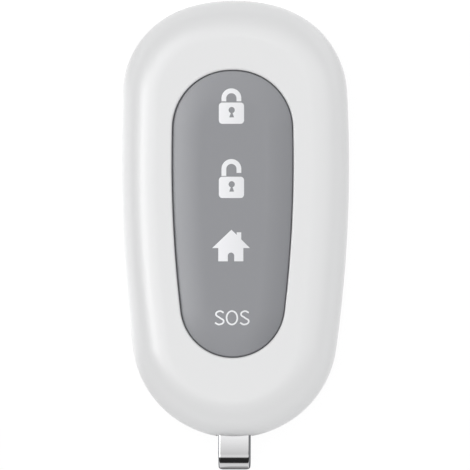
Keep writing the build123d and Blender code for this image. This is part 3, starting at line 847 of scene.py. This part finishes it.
def makeFlange(material, arcs, bottom):
    # Flange and skirt that hold the mat, hidden between the front shell and the board
    flange = keypad["flange"]
    outline, normals = eggPoints(arcs, flange["step"])
    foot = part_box("keypad_mat")[0].z / mm
    inner, ceiling = flange["out"] - keypad["skirt"], bottom + flange["rise"]
    ledge = ceiling - flange["thickness"]
    profile = [
        (inner, foot), (flange["out"], foot), (flange["out"], ceiling), (0, ceiling),
        (0, bottom), (-flange["in"], bottom), (-flange["in"], ledge), (inner, ledge),
    ]
    work = bmesh.new()
    rings = []
    for point, normal in zip(outline, normals):
        spots = [(*(point + normal * away), z) for away, z in profile]
        rings.append([work.verts.new(Vector(spot) * mm) for spot in spots])
    for ring, following in zip(rings, rings[1:] + rings[:1]):
        for n in range(len(profile)):
            work.faces.new((ring[n - 1], ring[n], following[n], following[n - 1]))
    faceOut(work)
    mesh = smoothMesh(work, bpy.data.meshes.new("keypad_flange"))
    placePiece("keypad_flange", mesh, material, "case", None)


def startTree(name, inputs):
    # A Geometry Nodes tree with named inputs, each with its kind
    tree = bpy.data.node_groups.new(name, "GeometryNodeTree")
    for label, kind in {"Geometry": "Geometry", **inputs, "Finish": "Material"}.items():
        tree.interface.new_socket(name=label, in_out="INPUT", socket_type=f"NodeSocket{kind}")
    tree.interface.new_socket(name="Geometry", in_out="OUTPUT", socket_type="NodeSocketGeometry")
    return tree, tree.nodes.new("NodeGroupInput").outputs


def rectangle(tree, width, height):
    return addNode(tree, "GeometryNodeCurvePrimitiveQuadrilateral", Width=width, Height=height).outputs[0]


def filleted(tree, curve, radius, count):
    settings = {"mode": "POLY"}
    return addNode(tree, "GeometryNodeFilletCurve", settings, Curve=curve, Radius=radius, Count=count).outputs[0]


def sweep(tree, given, path, profile, caps):
    # Sweeps a profile along an upright path, and ends the tree in real geometry with its finish
    upright = addNode(tree, "GeometryNodeSetCurveNormal", {"mode": "Z_UP"}, Curve=path)
    swept = addNode(
        tree, "GeometryNodeCurveToMesh", Curve=upright.outputs[0], Profile_Curve=profile, Fill_Caps=caps,
    )
    real = addNode(tree, "GeometryNodeRealizeInstances", Geometry=swept.outputs[0])
    coat = addNode(tree, "GeometryNodeSetMaterial", Geometry=real.outputs[0], Material=given["Finish"])
    feed(tree, tree.nodes.new("NodeGroupOutput"), Geometry=coat.outputs[0])
    return tree


def grow(drawn, tree, **values):
    # Runs a tree on a drawn object; its inputs are set by their names
    modifier = drawn.modifiers.new("grown", "NODES")
    modifier.node_group = tree
    for item in tree.interface.items_tree:
        key = item.name.replace(" ", "_")
        if item.item_type == "SOCKET" and item.in_out == "INPUT" and key in values:
            modifier[item.identifier] = values[key]


def plainCopy(drawn):
    # A drawn object's evaluated shape as a plain mesh; the drawing goes
    bpy.context.view_layer.update()
    mesh = bpy.data.meshes.new_from_object(drawn.evaluated_get(bpy.context.evaluated_depsgraph_get()))
    bpy.data.batch_remove([drawn, drawn.data])
    return mesh


def makeStrokeTree():
    # Flat ribbon of ink along a curve
    sizes = ("Stroke Width", "Ink Thickness", "Point Spacing")
    tree, given = startTree("printedStroke", dict.fromkeys(sizes, "Float"))
    spaced = addNode(
        tree, "GeometryNodeResampleCurve", {"mode": "LENGTH"},
        Curve=given["Geometry"], Length=given["Point Spacing"],
    )
    profile = rectangle(tree, given["Stroke Width"], given["Ink Thickness"])
    return sweep(tree, given, spaced.outputs[0], profile, True)


px = 0.1403  # mm for each pixel that the signs were measured in
originPixel = (232.5, 218.5)


def atPixel(x, y):
    return (x - originPixel[0]) * px, (originPixel[1] - y) * px


def drawnCurve(name, dimensions, paths):
    # A curve object; each path is a list of points, closed or open, soft or straight
    curve = bpy.data.curves.new(name, "CURVE")
    curve.dimensions = dimensions
    for path in paths:
        soft = path.get("soft", False)
        spline = curve.splines.new("BEZIER" if soft else "POLY")
        points = spline.bezier_points if soft else spline.points
        points.add(len(path["points"]) - 1)
        for point, (x, y) in zip(points, path["points"]):
            point.co = (x * mm, y * mm, 0) if soft else (x * mm, y * mm, 0, 1)
            if soft:
                point.handle_left_type = point.handle_right_type = "AUTO"
        spline.use_cyclic_u = path.get("closed", False)
    return addObject(name, curve), curve


def flatSign(name, outlines, top, body, material):
    # A flat printed shape with holes, as thick as the ink
    drawn, curve = drawnCurve(name, "2D", [{"points": outline, "closed": True} for outline in outlines])
    curve.fill_mode = "BOTH"
    curve.extrude = ink["thickness"] / 2 * mm
    settle(drawn, top, body, material)


def strokeSign(name, tree, paths, width, top, body, material, lift=None):
    # A sign drawn with a stroke, its width in pixels
    drawn, curve = drawnCurve(name, "3D", paths)
    curve.twist_mode = "Z_UP"
    curve.resolution_u = 16
    grow(
        drawn, tree, Stroke_Width=width * px * mm, Ink_Thickness=ink["thickness"] * mm,
        Point_Spacing=ink["spacing"] * mm, Finish=material,
    )
    settle(drawn, top, body, material, lift)


def settle(drawn, top, body, material, lift=None):
    # Lays a drawn sign on the keypad, as a plain mesh that rides on a key
    name = drawn.name
    mesh = plainCopy(drawn)
    for vertex in mesh.vertices:
        vertex.co.z += (top + ink["thickness"] / 2) * mm
        if lift:
            vertex.co.z += lift(vertex.co.x / mm, vertex.co.y / mm) * mm
    work = mergedCopy(mesh, 1e-8)
    faceOut(work)
    work.to_mesh(mesh)
    work.free()
    mesh.shade_flat()
    placePiece(name, mesh, material, body)


# Pixel places in the photograph
padlock = {
    "shackle": {"left": 223.9, "right": 238.9, "stroke": 4.8},
    "body": {"left": 218.9, "right": 244.0, "top": 102.7, "bottom": 123.9, "corner": 3.4},
    "hole": {"x": 231.7, "y": 110.2, "radius": 3.1, "neck": 0.9, "neckY": 113.2, "skirt": 2.4, "skirtY": 117.5},
    "signs": {  # how much lower than the first one; top of the shackle, feet of its left and right legs
        "arm": {"drop": 0.0, "shackle": (88.6, 101.5, 101.5)},
        "disarm": {"drop": 73.9, "shackle": (159.0, 175.8, 172.8)},
    },
}
house = {
    "roof": [(231.4, 229.3), (212.3, 247.6), (218.3, 247.6), (218.3, 260.8), (227.8, 260.8)],
    "door": {"x": 231.0, "y": 255.3, "radius": 3.2},
    "chimneySide": [
        (234.2, 260.8), (243.3, 260.8), (243.3, 247.6), (249.9, 247.6), (241.2, 239.0), (241.2, 231.9),
        (236.7, 231.9), (236.7, 234.5),
    ],
}
letters = {
    "stroke": 1.65,
    "s": [
        (223.7, 312.0), (219.9, 310.4), (216.0, 313.4), (219.8, 317.0), (223.7, 320.6), (219.3, 323.7),
        (215.0, 321.9),
    ],
    "pitch": 25.0,  # from the first S to the second
    "ring": {"middle": (231.95, 317.05), "half": (5.35, 6.65)},
}


def keyholeOutline(drop):
    hole = padlock["hole"]
    x, y = atPixel(hole["x"], hole["y"] + drop)
    neck = degrees(atan2(hole["neckY"] - hole["y"], hole["neck"]))
    foot = atPixel(0, hole["skirtY"] + drop)[1]
    outline = arcPoints(x, y, hole["radius"] * px, -neck, 180 + neck, 28)
    return outline + [(x + side * px, foot) for side in (-hole["skirt"], hole["skirt"])]


def bodyOutline(drop):
    body = padlock["body"]
    left, high = atPixel(body["left"], body["top"] + drop)
    right, low = atPixel(body["right"], body["bottom"] + drop)
    radius = body["corner"] * px
    near, far, down, up = left + radius, right - radius, low + radius, high - radius
    corners = ((far, up, 0), (near, up, 90), (near, down, 180), (far, down, 270))
    return [point for x, y, start in corners for point in arcPoints(x, y, radius, start, start + 90, 7)]


def shacklePath(top, leftLeg, rightLeg):
    # Arch of a padlock from the foot of its left leg to that of its right leg
    shackle = padlock["shackle"]
    left, high = atPixel(shackle["left"], top)
    right, _ = atPixel(shackle["right"], top)
    radius = (right - left) / 2
    arch = arcPoints((left + right) / 2, high - shackle["stroke"] * px / 2 - radius, radius, 180, 0, 28)
    return {"points": [(left, atPixel(0, leftLeg)[1]), *arch, (right, atPixel(0, rightLeg)[1])]}


def makeSigns(materials, arcs, top):
    tree = makeStrokeTree()
    finish = materials["inkWhite"]

    def lift(x, y):
        height, _ = topHeight(arcs, top, np.array([(x, y)]))
        return height[0] - top

    for key, sign in padlock["signs"].items():
        outlines = [bodyOutline(sign["drop"]), keyholeOutline(sign["drop"])]
        flatSign(f"{key}_sign_body", outlines, top, f"{key}_key", finish)
    for key, sign in padlock["signs"].items():
        arch, stroke = shacklePath(*sign["shackle"]), padlock["shackle"]["stroke"]
        strokeSign(f"{key}_sign_shackle", tree, [arch], stroke, top, f"{key}_key", finish, lift)

    door = house["door"]
    arch = [(x, -y) for x, y in reversed(arcPoints(door["x"], -door["y"], door["radius"], 0, 180, 18))]
    outline = [atPixel(x, y) for x, y in reversed(house["roof"] + arch + house["chimneySide"])]
    flatSign("home_sign", [outline], top, "home_key", finish)

    paths = []
    for shift in (0, letters["pitch"]):
        paths.append({"points": [atPixel(x + shift, y) for x, y in letters["s"]], "soft": True})
    x, y = letters["ring"]["middle"]
    halfX, halfY = letters["ring"]["half"]
    turns = np.linspace(0, 2 * pi, 48, endpoint=False)
    ring = [atPixel(x + halfX * cos(t), y - halfY * sin(t)) for t in turns]
    paths.append({"points": ring, "closed": True})
    strokeSign("sos_sign", tree, paths, letters["stroke"], top, "sos_key", finish)
    print("signs printed")


# Strap loop on its pin: a band swept along a slot-shaped path
loop = {
    "edge": 0.28,  # rounding of the band's edges
    "pinGap": 0.05,
    "taper": 0.08,  # how much flatter the band is at its free end
    "bendSteps": 24,
    "runs": {"longer": 1.5, "cuts": 24},  # the straight runs' edges, and what they are cut into
    "corner": 0.4,  # rounding of the free end, seen from above
    "sharp": 50.0,
    "plainHalf": 2.03, "edgeShadeBlur": 0.05,  # the width on each side of the middle kept free of the painted edge shade, and the blur of its border
    # colour of the painted shade along the strap's long edges, in place of their dark reflection
    "edgeShadeColour": (140, 141, 144),
}


def makeStrapTree():
    sizes = ("Length", "Height", "Thickness", "Width", "Edge Radius")
    tree, given = startTree("strapLoop", {**dict.fromkeys(sizes, "Float"), "Bend Steps": "Int"})
    pathLength = mathNode(tree, "SUBTRACT", given["Length"], given["Thickness"])
    pathHeight = mathNode(tree, "SUBTRACT", given["Height"], given["Thickness"])
    bend = times(tree, pathHeight, 0.4999)  # just under a half, for round ends
    slot = filleted(tree, rectangle(tree, pathLength, pathHeight), bend, given["Bend Steps"])
    section = rectangle(tree, given["Thickness"], given["Width"])
    return sweep(tree, given, slot, filleted(tree, section, given["Edge Radius"], 6), False)


def makeLoop(materials):
    low, high = (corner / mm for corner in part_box("key_loop"))
    pinLow, pinHigh = (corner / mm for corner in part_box("loop_pin"))
    width, length, height = (b - a for a, b in zip(low, high))
    middleY, middleZ = (low.y + high.y) / 2, (low.z + high.z) / 2
    thickness = (height - (pinHigh.z - pinLow.z)) / 2 - loop["pinGap"]
    drawn = addObject("loopStart", bpy.data.meshes.new("loopStart"))
    grow(
        drawn, makeStrapTree(), Length=length * mm, Height=height * mm, Thickness=thickness * mm,
        Width=width * mm, Edge_Radius=loop["edge"] * mm, Bend_Steps=loop["bendSteps"],
        Finish=materials["loopChrome"],
    )
    mesh = plainCopy(drawn)
    work = mergedCopy(mesh, 1e-7)
    least = loop["runs"]["longer"] * mm
    runs = [e for e in work.edges if abs(e.verts[0].co.x - e.verts[1].co.x) > least]
    bmesh.ops.subdivide_edges(work, edges=runs, cuts=loop["runs"]["cuts"], use_grid_fill=True)
    freeY = -length / 2 + height / 2  # where the free end's bend starts
    for vertex in work.verts:
        x, y, z = (c / mm for c in vertex.co)
        along = min(max(x / freeY, 0.0), 1.0)
        fromTip = x + length / 2
        narrow = 1.0
        if fromTip < loop["corner"]:
            cut = loop["corner"] - sqrt(max(loop["corner"] ** 2 - (loop["corner"] - fromTip) ** 2, 0.0))
            narrow = (width / 2 - cut) / (width / 2)
        vertex.co = (z * narrow * mm, (x + middleY) * mm, (y * (1 - loop["taper"] * along**2) + middleZ) * mm)
    faceOut(work)
    mesh = smoothMesh(work, mesh, loop["sharp"])
    piece = placePiece("loop_strap", mesh, materials["loopChrome"])
    even = piece.modifiers.new("even", "WEIGHTED_NORMAL")
    even.mode, even.keep_sharp = "FACE_AREA", True
    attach(piece, "key_loop")
    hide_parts("key_loop")
    print("loop:", len(mesh.polygons), "faces")


# CAD nodes that keep their shape
nodeFinishes = {
    "switchBlack": ["switch_bases", "battery_gasket", "battery_holder"],
    "springSteel": ["switch_covers", "switch_leads", "crystal"],
    "boardGreen": ["circuit_board"],
    "chipBlack": ["radio_chip", "chip_resistors"],
    "chipTan": ["chip_capacitors"],
    "contactBrass": ["test_pads", "antenna_trace", "battery_contact_positive", "battery_contact_negative"],
    "ledLens": ["status_led"],
    "cellSteel": ["battery_can"],
    "cellFill": ["battery_cap"],
    "screwSteel": ["case_screws", "loop_pin"],
    "plungerWhite": [f"{key}_plunger" for key in keyNames],
}


def dressNodes(materials):
    for finish, names in nodeFinishes.items():
        for name in names:
            data = frame["nodes"][name].data
            data.materials.clear()
            data.materials.append(materials[finish])
    print("CAD nodes dressed")


bpy.context.scene.view_settings.view_transform = "Standard"
makeCamera()
makeWorld()
makeFloor()
makeLamp()
print("studio set up")
materials = makeMaterials()
makeShells(materials)
makeDomes(materials)
keypadOutline, keypadTop = makeKeypad(materials)
makeSigns(materials, keypadOutline, keypadTop)
makeLoop(materials)
dressNodes(materials)
